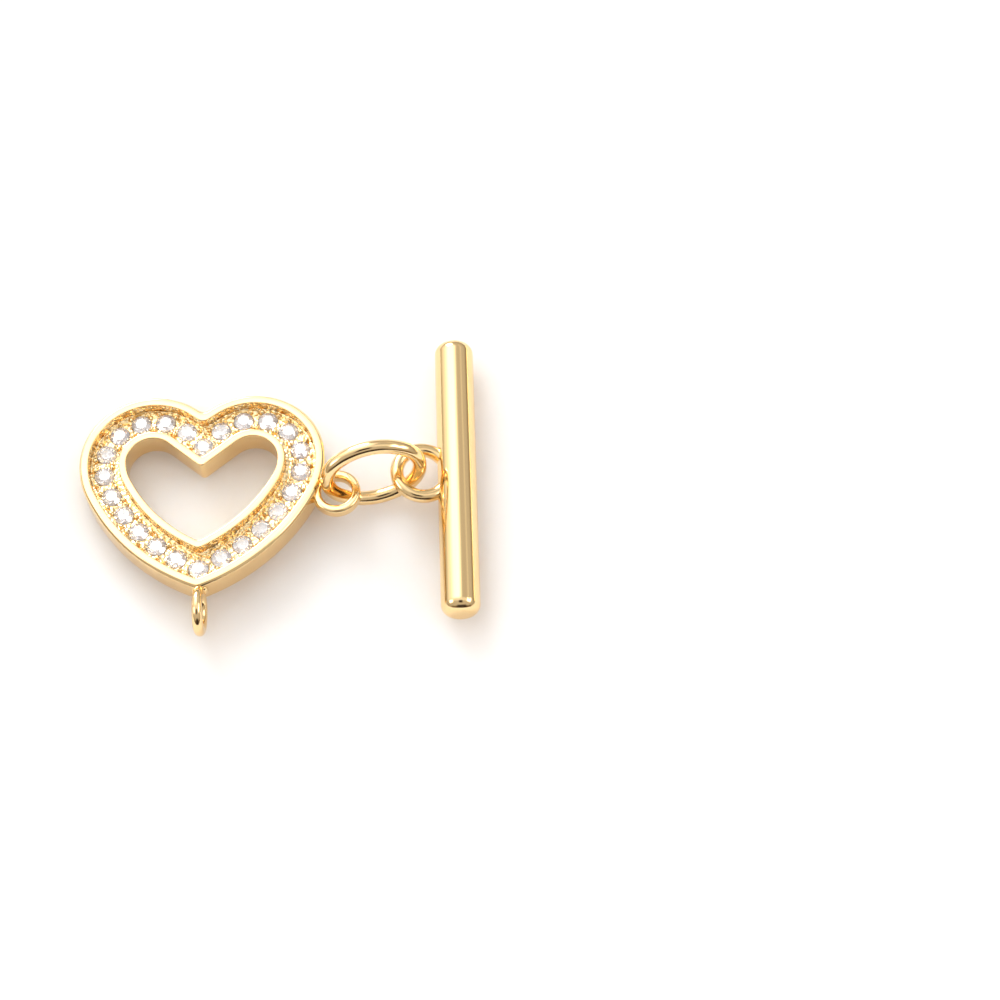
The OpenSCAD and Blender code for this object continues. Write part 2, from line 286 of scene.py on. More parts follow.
def turned(name, profile, steps):
    """A closed lathe piece about z, from its (radius, height) profile, as circles drawn out one by one."""
    radius, height = profile[0]
    clear_selection()
    bpy.ops.mesh.primitive_circle_add(
        vertices=steps, radius=radius, fill_type="NGON", location=(0, 0, height))
    piece = bpy.context.object
    bpy.ops.object.transform_apply()
    piece.name = name
    edit(piece)
    bpy.ops.mesh.select_all(action="SELECT")
    for next_radius, next_height in profile[1:]:
        bpy.ops.mesh.extrude_region_move(TRANSFORM_OT_translate={"value": (0, 0, next_height - height)})
        grow = next_radius / radius
        bpy.ops.transform.resize(value=(grow, grow, 1), center_override=(0, 0, next_height))
        radius, height = next_radius, next_height
    bpy.ops.mesh.select_all(action="SELECT")
    bpy.ops.mesh.normals_make_consistent(inside=False)
    done()
    return piece


def wire_ring(outer, wire, turn, place):
    """A ring of round wire."""
    clear_selection()
    bpy.ops.mesh.primitive_torus_add(
        major_segments=ROUND_STEPS, minor_segments=WIRE_STEPS,
        major_radius=(outer - wire) / 2, minor_radius=wire / 2)
    return settle(bpy.context.object, turn, place)


def solder(place, size, turn=(0, 0, 0)):
    """A soft drop of solder in a joint."""
    clear_selection()
    bpy.ops.mesh.primitive_uv_sphere_add(segments=32, ring_count=20, radius=1, scale=size)
    return settle(bpy.context.object, turn, place)


def finish_piece(piece, name, turn, place, nodes, material, angle=SMOOTH_ANGLE, second=None):
    """Brings a piece from millimetres in its own frame to metres on the table, and dresses it."""
    choose(piece)
    piece.name = name
    piece.data.name = name
    piece.rotation_mode = "XYZ"
    piece.rotation_euler = [radians(a) for a in turn]
    piece.location = [MM * c for c in place]
    piece.scale = (MM, MM, MM)
    bpy.ops.object.transform_apply(location=True, rotation=True, scale=True)
    if angle:
        bpy.ops.object.shade_smooth_by_angle(angle=radians(angle))
    if second is None:
        piece.data.materials.clear()
        piece.data.materials.append(material)
    else:
        piece.data.materials[0] = material
        piece.data.materials[1] = second
    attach(piece, "root")
    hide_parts(*nodes)
    return piece


# Outline of the heart

def arc(centre, radius, start, end, count):
    """Points on an arc, without its last one."""
    steps = [start + (end - start) * i / count for i in range(count)]
    return [(centre[0] + radius * cos(a), centre[1] + radius * sin(a)) for a in steps]


def notch_slope(inset):
    """Slope of the notch's straight sides, which are a little steeper towards the hole."""
    return NOTCH_OUTER + (NOTCH_INNER - NOTCH_OUTER) * inset / BAND_W


def notch_corner(inset):
    """Height where the two slopes of the notch meet, and where the right one joins the lobe."""
    slope = notch_slope(inset)
    top = LOBE_Y + (LOBE_R - inset - LOBE_X * sin(slope)) / cos(slope)
    joint = (LOBE_X - (LOBE_R - inset) * sin(slope), LOBE_Y + (LOBE_R - inset) * cos(slope))
    return top, joint


def tip_height(inset):
    """Height of the sharp tip, before it is rounded."""
    return LOWER_C[1] - sqrt((LOWER_R - inset) ** 2 - LOWER_C[0] ** 2)


def half_outline(inset):
    """Right half of the heart's outline, from the middle of the notch to the tip."""
    slope = notch_slope(inset)
    top, joint = notch_corner(inset)
    notch_r = NOTCH_ROUND_OUTER + (NOTCH_ROUND_INNER - NOTCH_ROUND_OUTER) * inset / BAND_W
    bend = (0, top + notch_r / cos(slope))
    points = arc(bend, notch_r, -pi / 2, slope - pi / 2, NOTCH_STEPS)
    begin = (notch_r * sin(slope), bend[1] - notch_r * cos(slope))
    points += [(begin[0] + (joint[0] - begin[0]) * i / SLOPE_STEPS,
                begin[1] + (joint[1] - begin[1]) * i / SLOPE_STEPS) for i in range(SLOPE_STEPS)]
    points += arc((LOBE_X, LOBE_Y), LOBE_R - inset, pi / 2 + slope, 0, LOBE_STEPS)
    points += arc(FLANK_C, FLANK_R - inset, 0, -FLANK_ANGLE, FLANK_STEPS)
    tip_y = LOWER_C[1] - sqrt((LOWER_R - inset - TIP_ROUND) ** 2 - LOWER_C[0] ** 2)
    last = atan2(tip_y - LOWER_C[1], -LOWER_C[0])
    points += arc(LOWER_C, LOWER_R - inset, -FLANK_ANGLE, last, LOWER_STEPS)
    points += arc((0, tip_y), TIP_ROUND, last, -pi / 2, TIP_STEPS)
    points.append((0, tip_y - TIP_ROUND))
    return points


def outline(inset):
    """The whole closed outline, inset from the outer edge."""
    right = half_outline(inset)
    left = [(-x, y) for x, y in right[-2:0:-1]]
    return right + left


def half_lengths(inset):
    """Lengths of the four stretches from the notch to the tip."""
    slope = notch_slope(inset)
    top, joint = notch_corner(inset)
    tip_angle = asin(-LOWER_C[0] / (LOWER_R - inset))
    return (hypot(joint[0], joint[1] - top), (LOBE_R - inset) * (pi / 2 + slope),
            (FLANK_R - inset) * FLANK_ANGLE, (LOWER_R - inset) * (pi / 2 - FLANK_ANGLE - tip_angle))


def station(inset, way):
    """Place and heading on the right half, a way from the notch."""
    slope = notch_slope(inset)
    top = notch_corner(inset)[0]
    straight, lobe, flank, _ = half_lengths(inset)
    if way < straight:
        return way * cos(slope), top + way * sin(slope), slope
    way -= straight
    if way < lobe:
        turn = way / (LOBE_R - inset)
        a = pi / 2 + slope - turn
        return LOBE_X + (LOBE_R - inset) * cos(a), LOBE_Y + (LOBE_R - inset) * sin(a), slope - turn
    way -= lobe
    if way < flank:
        turn = way / (FLANK_R - inset)
        return (FLANK_C[0] + (FLANK_R - inset) * cos(turn), FLANK_C[1] - (FLANK_R - inset) * sin(turn),
                -pi / 2 - turn)
    a = FLANK_ANGLE + (way - flank) / (LOWER_R - inset)
    return (LOWER_C[0] + (LOWER_R - inset) * cos(a), LOWER_C[1] - (LOWER_R - inset) * sin(a), -pi / 2 - a)


def stone_places():
    """Places and headings of the stones, clockwise from the notch."""
    middle = BAND_W / 2
    pitch = (sum(half_lengths(middle)) - FIRST_STONE) / SIDE_STONES
    right = [station(middle, FIRST_STONE + i * pitch) for i in range(SIDE_STONES)]
    left = [(-x, y, pi - heading) for x, y, heading in reversed(right)]
    notch = [(0, notch_corner(middle)[0] - NOTCH_DROP, 0)]
    tip = [(0, tip_height(middle), pi)]
    return notch + right + tip + left


def row_places(inset, count):
    """Dimple places along an outline: the two on the axis, and those of both halves."""
    step = sum(half_lengths(inset)) / (count + 1)
    right = [station(inset, (i + 1) * step)[:2] for i in range(count)]
    return [(0, notch_corner(inset)[0]), (0, tip_height(inset))] + right + [(-x, y) for x, y in right]


# Heart frame

def corner(centre, radius, start, end, steps):
    """Rounded corner of the band's section, as (inset, height) points."""
    turns = [radians(start + (end - start) * i / steps) for i in range(steps + 1)]
    return [(centre[0] + radius * cos(a), centre[1] + radius * sin(a)) for a in turns]


def band_section():
    """Section of the band from its back over the outer wall, the channel and the hole's wall."""
    edge = EDGE_ROUND
    set_back = edge * 0.4
    top = BAND_T - edge
    channel_in = OUTER_RIM
    channel_out = BAND_W - INNER_RIM
    section = corner((BACK_ROUND, BACK_ROUND), BACK_ROUND, 270, 180, 6)
    section += [(0, height) for height in WALL_ROWS]
    section += corner((edge, BAND_T - RIM_BEVEL - set_back), edge, 180, 135, 2)
    section += corner((RIM_BEVEL + set_back, top), edge, 135, 90, 2)
    section += corner((channel_in - edge, top), edge, 90, 0, 4)
    section += corner((channel_in + edge + WALL_LEAN, FLOOR_Z + edge), edge, 180, 270, 3)
    section += [(inset, FLOOR_Z) for inset in CHANNEL_ROWS]
    section += corner((channel_out - edge - WALL_LEAN, FLOOR_Z + edge), edge, 270, 360, 3)
    section += corner((channel_out + edge, top), edge, 180, 90, 4)
    section += corner((BAND_W - edge, top), edge, 90, 0, 4)
    section += [(BAND_W, height) for height in reversed(WALL_ROWS)]
    section += corner((BAND_W - BACK_ROUND, BACK_ROUND), BACK_ROUND, 0, -90, 6)
    section += [(inset, 0) for inset in BACK_ROWS]
    return section


def swept_band():
    """The band, as rings of the heart's outline drawn out one after the other along its section."""
    rings = [[(x, y, height) for x, y in outline(inset)] for inset, height in band_section()]
    rings.append(rings[0])
    clear_selection()
    bpy.ops.mesh.primitive_circle_add(vertices=len(rings[0]), radius=LOBE_R)
    band = bpy.context.object
    mesh = edit(band)
    for vertex, point in zip(mesh.verts, rings[0]):
        vertex.co = point
    bpy.ops.mesh.select_all(action="SELECT")
    for before, after in zip(rings, rings[1:]):
        near = KDTree(len(before))
        for i, point in enumerate(before):
            near.insert(point, i)
        near.balance()
        bpy.ops.mesh.extrude_edges_move()
        mesh = bmesh.from_edit_mesh(band.data)
        for vertex in mesh.verts:
            if vertex.select:
                vertex.co = after[near.find(vertex.co)[1]]
        bmesh.update_edit_mesh(band.data)
    close_up(0.0005)
    return band


def seat_cutters():
    """What is bored out for the stones: a cone under the girdle and a hole to the back."""
    places = [(x, y, 0) for x, y, _ in stone_places()]
    return scattered(turned("seat", SEAT_PROFILE, SEAT_STEPS), places, "seats")


def dimple_cutters():
    """Round punch marks of the back, each with a small pip left standing in its middle."""
    places = [(x, y, 0) for x, y in row_places(*OUTER_ROW) + row_places(*INNER_ROW)]
    return scattered(turned("dimple", DIMPLE_PROFILE, DIMPLE_STEPS), places, "dimples")


def bead_prongs():
    """Small beads raised round each seat, which hold the stones."""
    angles = {0: NOTCH_BEAD_ANGLES, SIDE_STONES + 1: TIP_BEAD_ANGLES}
    places = []
    for i, (x, y, heading) in enumerate(stone_places()):
        for angle in angles.get(i, BEAD_ANGLES):
            a = heading + radians(angle)
            places.append((x + BEAD_OUT * cos(a), y + BEAD_OUT * sin(a), FLOOR_Z))
    return scattered(turned("bead", BEAD_PROFILE, BEAD_STEPS), places, "beads")


def mark_channel(band):
    """Gives the faces down in the channel the second finish."""
    below_floor = 0.19
    margin = 0.03
    edge_points = outline(0)
    near = KDTree(len(edge_points))
    for i, (x, y) in enumerate(edge_points):
        near.insert((x, y, 0), i)
    near.balance()

    def in_channel(face):
        x, y, z = face.calc_center_median()
        if not FLOOR_Z - below_floor < z < BAND_T - margin:
            return False
        inset = near.find((x, y, 0))[2]
        return OUTER_RIM - margin < inset < BAND_W - INNER_RIM + margin

    band.data.materials.clear()
    band.data.materials.append(None)
    band.data.materials.append(None)
    edit(band)
    pick(band, in_channel, "FACE")
    band.active_material_index = 1
    bpy.ops.object.material_slot_assign()
    done()


def side_loop():
    """Ring at the heart's side, with a flat section whose edges are well rounded."""
    clear_selection()
    bpy.ops.mesh.primitive_cylinder_add(vertices=ROUND_STEPS, radius=SIDE_LOOP_D / 2, depth=SIDE_LOOP_H)
    ring = bpy.context.object
    bpy.ops.mesh.primitive_cylinder_add(
        vertices=ROUND_STEPS, radius=SIDE_LOOP_D / 2 - SIDE_LOOP_W, depth=3)
    apply_boolean(ring, bpy.context.object, "DIFFERENCE")

    def runs_round(e):
        first, second = (vertex.co for vertex in e.verts)
        level = abs(first.z - second.z) < 1e-4
        return level and abs(hypot(*first.xy) - hypot(*second.xy)) < 1e-3

    edit(ring)
    pick(ring, runs_round, "EDGE")
    bpy.ops.mesh.bevel(offset=SIDE_LOOP_ROUND, segments=6, profile=0.5, affect="EDGES")
    done()
    return settle(ring, turn=(0, 0, SIDE_LOOP_TURN), place=SIDE_LOOP)


def side_drop(side, size):
    """Solder between the side loop and the band, on one side of the joint."""
    turn = SIDE_LOOP_TURN
    x = SIDE_LOOP[0] - SIDE_SOLDER_IN * cos(turn) + side * SIDE_SOLDER_APART * sin(turn)
    y = SIDE_LOOP[1] - SIDE_SOLDER_IN * sin(turn) - side * SIDE_SOLDER_APART * cos(turn)
    return solder((x, y, SIDE_LOOP[2]), (size * SIDE_SOLDER_LONG, size, SIDE_SOLDER_HIGH), (0, 0, turn))


def heart_frame(material, channel_material):
    """The band with its seats, dimples and beads, and its two loops soldered on."""
    band = swept_band()
    apply_boolean(band, seat_cutters(), "DIFFERENCE")
    apply_boolean(band, dimple_cutters(), "DIFFERENCE")
    apply_boolean(band, bead_prongs(), "UNION")
    mark_channel(band)
    apply_boolean(band, side_loop(), "UNION")
    for side, size in SIDE_SOLDER_SIZES:
        apply_boolean(band, side_drop(side, size), "UNION")
    ring = wire_ring(BOTTOM_LOOP_D, BOTTOM_LOOP_WIRE, (0, pi / 2, 0), BOTTOM_LOOP)
    apply_boolean(band, ring, "UNION")
    for x in TIP_SOLDER_SPOTS:
        drop = solder((BOTTOM_LOOP[0] + x, TIP_SOLDER_Y, TIP_SOLDER_Z), TIP_SOLDER_SIZE)
        apply_boolean(band, drop, "UNION")
    return finish_piece(band, "heart_band", HEART_TURN, HEART_PLACE, ["heart_frame"], material,
                        second=channel_material)


# Stones

def cut(piece, point, normal):
    """One facet, ground away and closed."""
    edit(piece)
    bpy.ops.mesh.select_all(action="SELECT")
    bpy.ops.mesh.bisect(plane_co=point, plane_no=normal, use_fill=True, clear_outer=True, threshold=1e-6)
    done()


def cut_stone():
    """A round brilliant, cut facet by facet from a round blank whose girdle is at z = 0."""
    radius = STONE_D / 2
    girdle = 0.03 * STONE_D
    star = girdle + 0.113 * STONE_D
    table = girdle + 0.15 * STONE_D
    clear_selection()
    bpy.ops.mesh.primitive_cylinder_add(vertices=48, radius=radius, depth=2)
    stone = bpy.context.object
    # Number, first direction, slope, share of the radius, height and side of each round of facets
    rounds = (
        (8, 0.0, 34.5, 1.0, girdle, 1),
        (8, 22.5, 21.0, 0.77, star, 1),
        (16, 11.25, 40.5, 1.008, girdle, 1),
        (8, 0.0, 41.0, 1.0, 0, -1),
        (16, 11.25, 42.3, 1.0, 0, -1))
    for count, first, slope, share, height, side in rounds:
        for i in range(count):
            a = radians(first + 360 / count * i)
            s = radians(slope)
            point = (share * radius * cos(a), share * radius * sin(a), height)
            cut(stone, point, (sin(s) * cos(a), sin(s) * sin(a), side * cos(s)))
    cut(stone, (0, 0, table), (0, 0, 1))
    return stone


def set_stones(material):
    """Twenty-four stones in their seats, a few of them a little askew as set stones are."""
    blank = cut_stone()
    for i, (x, y, heading) in enumerate(stone_places()):
        stone = copy_of(blank, "stone")
        lean, towards = ASKEW.get(i, (LEAN, LEAN_STEP * i))
        turn = Matrix.Rotation(radians(lean), 3, (cos(radians(towards)), sin(radians(towards)), 0))
        turn = turn @ Matrix.Rotation(heading + TURN_STEP * i, 3, "Z")
        settle(stone, turn.to_euler(), (x, y, FLOOR_Z))
        finish_piece(stone, f"cut_stone_{i + 1:02d}", HEART_TURN, HEART_PLACE, [f"stone_{i + 1:02d}"],
                     material, angle=0)
    bpy.data.objects.remove(blank)


# Oval link

def oval_link(material):
    """Round wire drawn round the four arcs of the oval."""
    seam = atan2(LINK_UP, LINK_ACROSS)
    side = pi - 2 * seam
    end_x = LINK_ACROSS * LINK_REACH
    side_y = LINK_UP * LINK_REACH
    clear_selection()
    bpy.ops.mesh.primitive_circle_add(vertices=WIRE_STEPS, radius=LINK_WIRE / 2)
    link = settle(bpy.context.object, (pi / 2, 0, 0), (end_x + LINK_END_R, 0, 0))
    edit(link)
    bpy.ops.mesh.select_all(action="SELECT")
    arcs = (
        ((end_x, 0, 0), seam, LINK_END_STEPS),
        ((0, -side_y, 0), side, LINK_SIDE_STEPS),
        ((-end_x, 0, 0), 2 * seam, 2 * LINK_END_STEPS),
        ((0, side_y, 0), side, LINK_SIDE_STEPS),
        ((end_x, 0, 0), seam, LINK_END_STEPS))
    for centre, angle, steps in arcs:
        bpy.ops.mesh.spin(steps=steps, angle=-angle, center=centre, axis=(0, 0, 1))
    close_up(0.002)
    return finish_piece(link, "link_wire", LINK_TURN, LINK_PLACE, ["oval_link"], material)


# Toggle bar

def toggle_bar(material):
    """Round rod with rounded ends, and the loop soldered to its side."""
    clear_selection()
    bpy.ops.mesh.primitive_cylinder_add(
        vertices=ROUND_STEPS, radius=ROD_D / 2, depth=ROD_L, end_fill_type="NGON")
    rod = settle(bpy.context.object, (pi / 2, 0, 0))

    def at_end(e):
        first, second = (vertex.co.y for vertex in e.verts)
        return min(abs(first), abs(second)) > ROD_L / 2 - 0.01 and first * second > 0

    edit(rod)
    pick(rod, at_end, "EDGE")
    bpy.ops.mesh.bevel(offset=ROD_ROUND, segments=12, profile=0.5, affect="EDGES")
    done()
    place = (ROD_LOOP_X * cos(ROD_LOOP_LIFT), ROD_LOOP_Y, -ROD_LOOP_X * sin(ROD_LOOP_LIFT))
    ring = wire_ring(ROD_LOOP_D, ROD_LOOP_WIRE, (0, ROD_LOOP_LIFT, 0), place)
    apply_boolean(rod, ring, "UNION")
    for y, size in ROD_SOLDER_SPOTS:
        spot = (ROD_SOLDER_X, ROD_LOOP_Y + y, ROD_SOLDER_Z)
        apply_boolean(rod, solder(spot, (size, ROD_SOLDER_WIDE, ROD_SOLDER_HIGH)), "UNION")
    return finish_piece(rod, "bar_rod", BAR_TURN, BAR_PLACE, ["toggle_bar"], material)


# Materials

def new_material(name):
    """A material, its node tree and its shader."""
    material = bpy.data.materials.new(name)
    material.use_nodes = True
    tree = material.node_tree
    return material, tree, tree.nodes["Principled BSDF"]


def two_tones(nodes, start, first, end, second):
    """A ramp from one colour to another."""
    tone = nodes.new("ShaderNodeValToRGB")
    for stop, position, colour in zip(tone.color_ramp.elements, (start, end), (first, second)):
        stop.position = position
        stop.color = (*colour, 1)
    return tone


def polish_group():
    """Polishing marks and the slight unevenness of plated gold, as a colour, a roughness and a normal."""
    group = bpy.data.node_groups.new("polish_marks", "ShaderNodeTree")
    face = group.interface
    for label, value in (("Roughness", 0.1), ("Spread", 0.04), ("Wave Size", 600.0), ("Wave Depth", 0.05),
                         ("Mark Size", 6000.0), ("Mark Depth", 0.02)):
        socket = face.new_socket(name=label, in_out="INPUT", socket_type="NodeSocketFloat")
        socket.default_value = value
    face.new_socket(name="Stretch", in_out="INPUT", socket_type="NodeSocketVector")
    face.new_socket(name="Color", in_out="OUTPUT", socket_type="NodeSocketColor")
    face.new_socket(name="Roughness", in_out="OUTPUT", socket_type="NodeSocketFloat")
    face.new_socket(name="Normal", in_out="OUTPUT", socket_type="NodeSocketVector")
    nodes, links = group.nodes, group.links
    given = nodes.new("NodeGroupInput")
    out = nodes.new("NodeGroupOutput")
    where = nodes.new("ShaderNodeTexCoord")
    waves = nodes.new("ShaderNodeTexNoise")
    marks = nodes.new("ShaderNodeTexNoise")
    marks.inputs["Detail"].default_value = 3
    drawn = nodes.new("ShaderNodeVectorMath")
    drawn.operation = "MULTIPLY"
    tone = two_tones(nodes, 0.3, (0.94, 0.685, 0.345), 0.7, (0.96, 0.71, 0.375))
    rough = nodes.new("ShaderNodeMath")
    rough.operation = "MULTIPLY_ADD"
    uneven = nodes.new("ShaderNodeBump")
    uneven.inputs["Distance"].default_value = 0.00002
    marked = nodes.new("ShaderNodeBump")
    marked.inputs["Distance"].default_value = 0.000004
    links.new(where.outputs["Object"], drawn.inputs[0])
    links.new(given.outputs["Stretch"], drawn.inputs[1])
    links.new(drawn.outputs["Vector"], waves.inputs["Vector"])
    links.new(where.outputs["Object"], marks.inputs["Vector"])
    links.new(waves.outputs["Fac"], tone.inputs["Fac"])
    links.new(given.outputs["Wave Size"], waves.inputs["Scale"])
    links.new(given.outputs["Mark Size"], marks.inputs["Scale"])
    links.new(waves.outputs["Fac"], rough.inputs[0])
    links.new(given.outputs["Spread"], rough.inputs[1])
    links.new(given.outputs["Roughness"], rough.inputs[2])
    links.new(given.outputs["Wave Depth"], uneven.inputs["Strength"])
    links.new(given.outputs["Mark Depth"], marked.inputs["Strength"])
    links.new(waves.outputs["Fac"], uneven.inputs["Height"])
    links.new(marks.outputs["Fac"], marked.inputs["Height"])
    links.new(uneven.outputs["Normal"], marked.inputs["Normal"])
    links.new(tone.outputs["Color"], out.inputs["Color"])
    links.new(rough.outputs["Value"], out.inputs["Roughness"])
    links.new(marked.outputs["Normal"], out.inputs["Normal"])


def gold_plating(name, roughness, wave_size, wave_depth, stretch=(1, 1, 1)):
    """Polished gold. A stretch below 1 draws its unevenness out along that axis."""
    material, tree, surface = new_material(name)
    polish = tree.nodes.new("ShaderNodeGroup")
    polish.node_tree = bpy.data.node_groups["polish_marks"]
    polish.inputs["Roughness"].default_value = roughness
    polish.inputs["Wave Size"].default_value = wave_size
    polish.inputs["Wave Depth"].default_value = wave_depth
    polish.inputs["Stretch"].default_value = stretch
    tree.links.new(polish.outputs["Color"], surface.inputs["Base Color"])
    surface.inputs["Metallic"].default_value = 1.0
    tree.links.new(polish.outputs["Roughness"], surface.inputs["Roughness"])
    tree.links.new(polish.outputs["Normal"], surface.inputs["Normal"])
    return material


def set_gold():
    """Gold of the channel, cut and pushed into small bright humps between the stones, with painted shade:
    darker and more orange in the creases between the humps.
    """
    material, tree, surface = new_material("set_gold")
    nodes, links = tree.nodes, tree.links
    where = nodes.new("ShaderNodeTexCoord")
    humps = nodes.new("ShaderNodeTexVoronoi")
    humps.feature = "SMOOTH_F1"
    humps.inputs["Scale"].default_value = 3800
    humps.inputs["Smoothness"].default_value = 0.3
    grain = nodes.new("ShaderNodeTexNoise")
    grain.inputs["Scale"].default_value = 9000
    grain.inputs["Detail"].default_value = 2
    coarse = nodes.new("ShaderNodeBump")
    coarse.inputs["Strength"].default_value = 0.8
    coarse.inputs["Distance"].default_value = 0.00012
    coarse.invert = True
    fine = nodes.new("ShaderNodeBump")
    fine.inputs["Strength"].default_value = 0.3
    fine.inputs["Distance"].default_value = 0.00002
    # Painted shade: the colour runs from pale gold on the humps to darker, more orange gold in the creases
    # between them
    tone = two_tones(nodes, 0.15, (0.97, 0.79, 0.49), 0.75, (0.90, 0.64, 0.31))
    links.new(where.outputs["Object"], humps.inputs["Vector"])
    links.new(where.outputs["Object"], grain.inputs["Vector"])
    links.new(humps.outputs["Distance"], coarse.inputs["Height"])
    links.new(humps.outputs["Distance"], tone.inputs["Fac"])
    links.new(grain.outputs["Fac"], fine.inputs["Height"])
    links.new(coarse.outputs["Normal"], fine.inputs["Normal"])
    links.new(fine.outputs["Normal"], surface.inputs["Normal"])
    links.new(tone.outputs["Color"], surface.inputs["Base Color"])
    surface.inputs["Metallic"].default_value = 1.0
    surface.inputs["Roughness"].default_value = 0.14
    return material


def clear_stone():
    """Clear stone with a faint uneven tint, and a weak light in place of inner reflections that are lost."""
    material, tree, surface = new_material("clear_stone")
    where = tree.nodes.new("ShaderNodeTexCoord")
    tint = tree.nodes.new("ShaderNodeTexNoise")
    tint.inputs["Scale"].default_value = 1500
    tone = two_tones(tree.nodes, 0.35, (0.97, 0.90, 0.92), 0.65, (1.0, 0.985, 0.99))
    tree.links.new(where.outputs["Object"], tint.inputs["Vector"])
    tree.links.new(tint.outputs["Fac"], tone.inputs["Fac"])
    tree.links.new(tone.outputs["Color"], surface.inputs["Base Color"])
    tree.links.new(tone.outputs["Color"], surface.inputs["Emission Color"])
    surface.inputs["Emission Strength"].default_value = 0.045
    surface.inputs["Roughness"].default_value = 0.0
    surface.inputs["IOR"].default_value = 2.16
    surface.inputs["Transmission Weight"].default_value = 0.88
    surface.inputs["Coat Weight"].default_value = 1.0
    surface.inputs["Coat Roughness"].default_value = 0.0
    surface.inputs["Coat IOR"].default_value = 2.4
    return material


def table_top():
    """Matt white, in which the light spreads a little."""
    material, _, surface = new_material("white_table")
    surface.inputs["Base Color"].default_value = (0.87, 0.855, 0.85, 1)
    surface.inputs["Roughness"].default_value = 0.9
    surface.inputs["Specular IOR Level"].default_value = 0.0
    surface.subsurface_method = "BURLEY"
    surface.inputs["Subsurface Weight"].default_value = 1.0
    surface.inputs["Subsurface Radius"].default_value = (1.0, 0.85, 0.75)
    surface.inputs["Subsurface Scale"].default_value = 0.01
    return material


# Studio

# Colours of the room, from level, 0, to straight up, 1
WALL_COLOURS = (
    (0.0, (0.44, 0.385, 0.33)),
    (0.12, (0.48, 0.44, 0.39)),
    (0.45, (0.62, 0.585, 0.56)),
    (1.0, (0.62, 0.585, 0.56)))
BACKDROP_COLOUR = (1.0, 0.99, 0.98)

# Panels, the later ones in front: direction of the middle, sideways direction, half width, half length,
# softness of the edge, and colour
PANELS = (
    ((-0.66, 0.42, 0.60), (1, 0, 1.1), 0.46, 0.45, 0.34, (1.3, 1.26, 1.2)),
    ((0.0, -0.05, 1.0), (1, 0, 0), 1.00, 0.27, 0.14, (1.0, 0.98, 0.95)),
    ((-0.32, 0.45, 0.83), (1, 0, 0.41), 0.40, 0.30, 0.26, (2.5, 2.5, 2.45)),
    ((-0.34, 0.78, 0.48), (1, 0.3, 0), 0.20, 0.20, 0.06, (17.0, 17.0, 17.0)),
    ((0.76, -0.03, 0.64), (0.64, 0, -0.76), 0.20, 0.30, 0.08, (3.8, 3.7, 3.6)),
    ((-0.80, -0.20, 0.55), (0.55, 0, 0.8), 0.18, 0.20, 0.08, (3.8, 3.7, 3.6)),
    ((0.62, 0.44, 0.65), (0.44, -0.9, 0), 0.5, 0.07, 0.05, (0.80, 0.77, 0.72)),
    ((0.88, 0.44, 0.20), (0.44, -0.9, 0), 0.5, 0.06, 0.05, (0.32, 0.28, 0.24)),
    ((0.90, 0.44, 0.05), (0.44, -0.9, 0), 0.35, 0.03, 0.02, (2.6, 2.2, 1.4)),
    ((0.12, -1.0, 0.17), (1, 0, 0), 1.10, 0.17, 0.10, (0.20, 0.15, 0.11)),
    ((0.12, -1.0, 0.26), (1, 0, 0), 0.42, 0.30, 0.12, (0.05, 0.04, 0.035)),
    ((0.03, -0.44, 0.9), (1, 0, 0), 0.18, 0.20, 0.05, (0.04, 0.03, 0.03)))

# Sockets of a Mix node that is set to colours
MIX_FACTOR = 0
MIX_UNDER = 6
MIX_OVER = 7
MIX_RESULT = 2

# Camera, fitted to the photo: lens and sensor in millimetres, the rest in metres
CAMERA_PLACE = (0.01455, -0.07921, 0.16178)
CAMERA_TILT = radians(26)
LENS = 97.2
SENSOR = 36
NEAREST = 0.001


def floor():
    """The table, a plain sheet."""
    clear_selection()
    bpy.ops.mesh.primitive_plane_add(size=3)
    table = bpy.context.object
    table.name = "table_top"
    table.data.materials.append(table_top())


def panel_group():
    """How much a direction falls on a soft-edged light panel, from 0 to 1."""
    group = bpy.data.node_groups.new("soft_panel", "ShaderNodeTree")
    face = group.interface
    for label in ("Direction", "Middle", "Across", "Along"):
        face.new_socket(name=label, in_out="INPUT", socket_type="NodeSocketVector")
    for label in ("Half Width", "Half Length", "Edge"):
        face.new_socket(name=label, in_out="INPUT", socket_type="NodeSocketFloat")
    face.new_socket(name="Mask", in_out="OUTPUT", socket_type="NodeSocketFloat")
    nodes, links = group.nodes, group.links
    given = nodes.new("NodeGroupInput")
    out = nodes.new("NodeGroupOutput")

    def dot(label):
        node = nodes.new("ShaderNodeVectorMath")
        node.operation = "DOT_PRODUCT"
        links.new(given.outputs["Direction"], node.inputs[0])
        links.new(given.outputs[label], node.inputs[1])
        return node.outputs["Value"]

    def worked(operation, first, second=None):
        node = nodes.new("ShaderNodeMath")
        node.operation = operation
        links.new(first, node.inputs[0])
        if isinstance(second, float):
            node.inputs[1].default_value = second
        elif second is not None:
            links.new(second, node.inputs[1])
        return node.outputs["Value"]

    ahead = worked("MAXIMUM", dot("Middle"), 0.02)
    masks = []
    for label, half in (("Across", "Half Width"), ("Along", "Half Length")):
        reach = worked("ABSOLUTE", worked("DIVIDE", dot(label), ahead))
        fade = nodes.new("ShaderNodeMapRange")
        fade.interpolation_type = "SMOOTHSTEP"
        links.new(reach, fade.inputs["Value"])
        links.new(worked("SUBTRACT", given.outputs[half], given.outputs["Edge"]), fade.inputs["From Min"])
        links.new(worked("ADD", given.outputs[half], given.outputs["Edge"]), fade.inputs["From Max"])
        fade.inputs["To Min"].default_value = 1
        fade.inputs["To Max"].default_value = 0
        masks.append(fade.outputs["Result"])
    links.new(worked("MULTIPLY", masks[0], masks[1]), out.inputs["Mask"])
    return group


